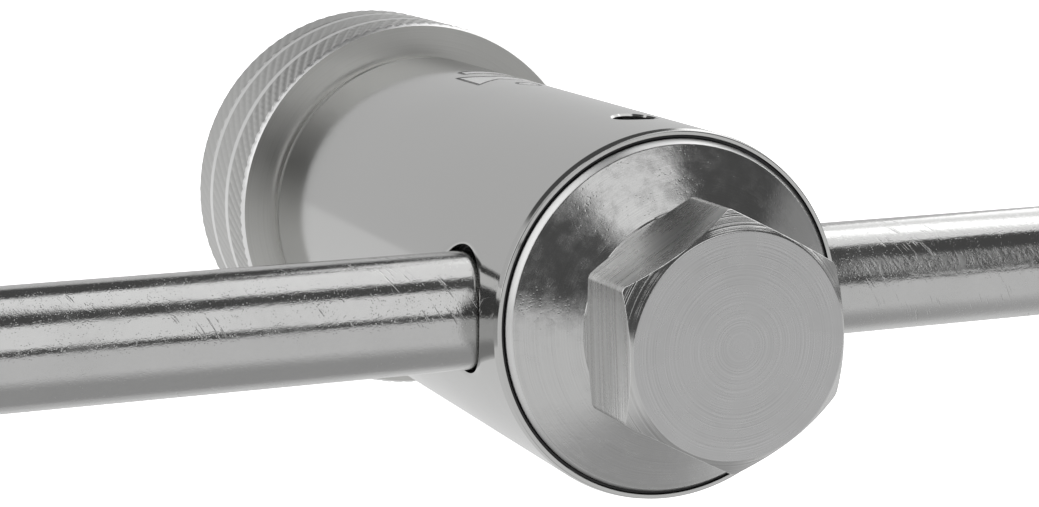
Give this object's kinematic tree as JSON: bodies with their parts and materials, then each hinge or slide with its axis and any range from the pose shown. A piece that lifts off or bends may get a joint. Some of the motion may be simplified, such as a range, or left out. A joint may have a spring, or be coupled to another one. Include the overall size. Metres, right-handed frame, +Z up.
{
  "type": "plug valve",
  "caption": "In-line quarter-turn plug valve: round steel body with two straight tube ends, a hexagon end plug in front and a knurled hand knob behind.",
  "frame": {"origin": "where the tubes' axis crosses the body's axis, at the middle of the flow path", "axes": "+X along the tubes from inlet to outlet, -Y out through the hexagon end plug, +Y towards the knurled knob, +Z up through the locating screw"},
  "size_m": [0.19, 0.1427, 0.0616],
  "materials": {
    "satin_steel": "smooth satin-polished stainless steel",
    "turned_steel": "polished stainless steel with turning and milling marks",
    "plated_tube": "bright plated tube with fine pits and scuffs",
    "knurled_steel": "knurled stainless steel with smooth lines and faces",
    "black_rubber": "matte black rubber",
    "white_ptfe": "white fluoropolymer",
    "bronze": "turned bearing bronze",
    "spring_steel": "dark spring steel",
    "machined_steel": "machined stainless steel",
    "dark_screw": "blackened screw steel"
  },
  "bodies": {
    "body": {"valve_body": "satin_steel", "end_plug": "turned_steel", "end_seal": "black_rubber", "inlet_tube": "plated_tube", "outlet_tube": "plated_tube", "inlet_tube_seal": "black_rubber", "outlet_tube_seal": "black_rubber", "plug_sleeve": "white_ptfe", "sleeve_locating_screw": "dark_screw", "disc_spring": "spring_steel", "thrust_washer": "bronze", "packing_ring_1": "white_ptfe", "packing_ring_2": "white_ptfe", "packing_ring_3": "white_ptfe", "gland_follower": "bronze", "gland_spring_1": "spring_steel", "gland_spring_2": "spring_steel", "gland_nut": "machined_steel", "rear_bush": "bronze", "bush_retaining_ring": "spring_steel", "dust_seal": "black_rubber", "stop_pin": "machined_steel"},
    "rotor": {"knurled_knob": "knurled_steel", "stem": "machined_steel", "plug": "machined_steel", "stem_thrust_washer": "bronze", "stem_o_ring_1": "black_rubber", "stem_o_ring_2": "black_rubber", "knob_washer": "machined_steel", "knob_screw": "dark_screw"}
  },
  "joints": [
    {"name": "knob_turn", "type": "hinge", "parent": "body", "child": "rotor", "pos_m": [0, 0, 0], "axis": [0, 1, 0], "range_deg": [0, 90]}
  ]
}
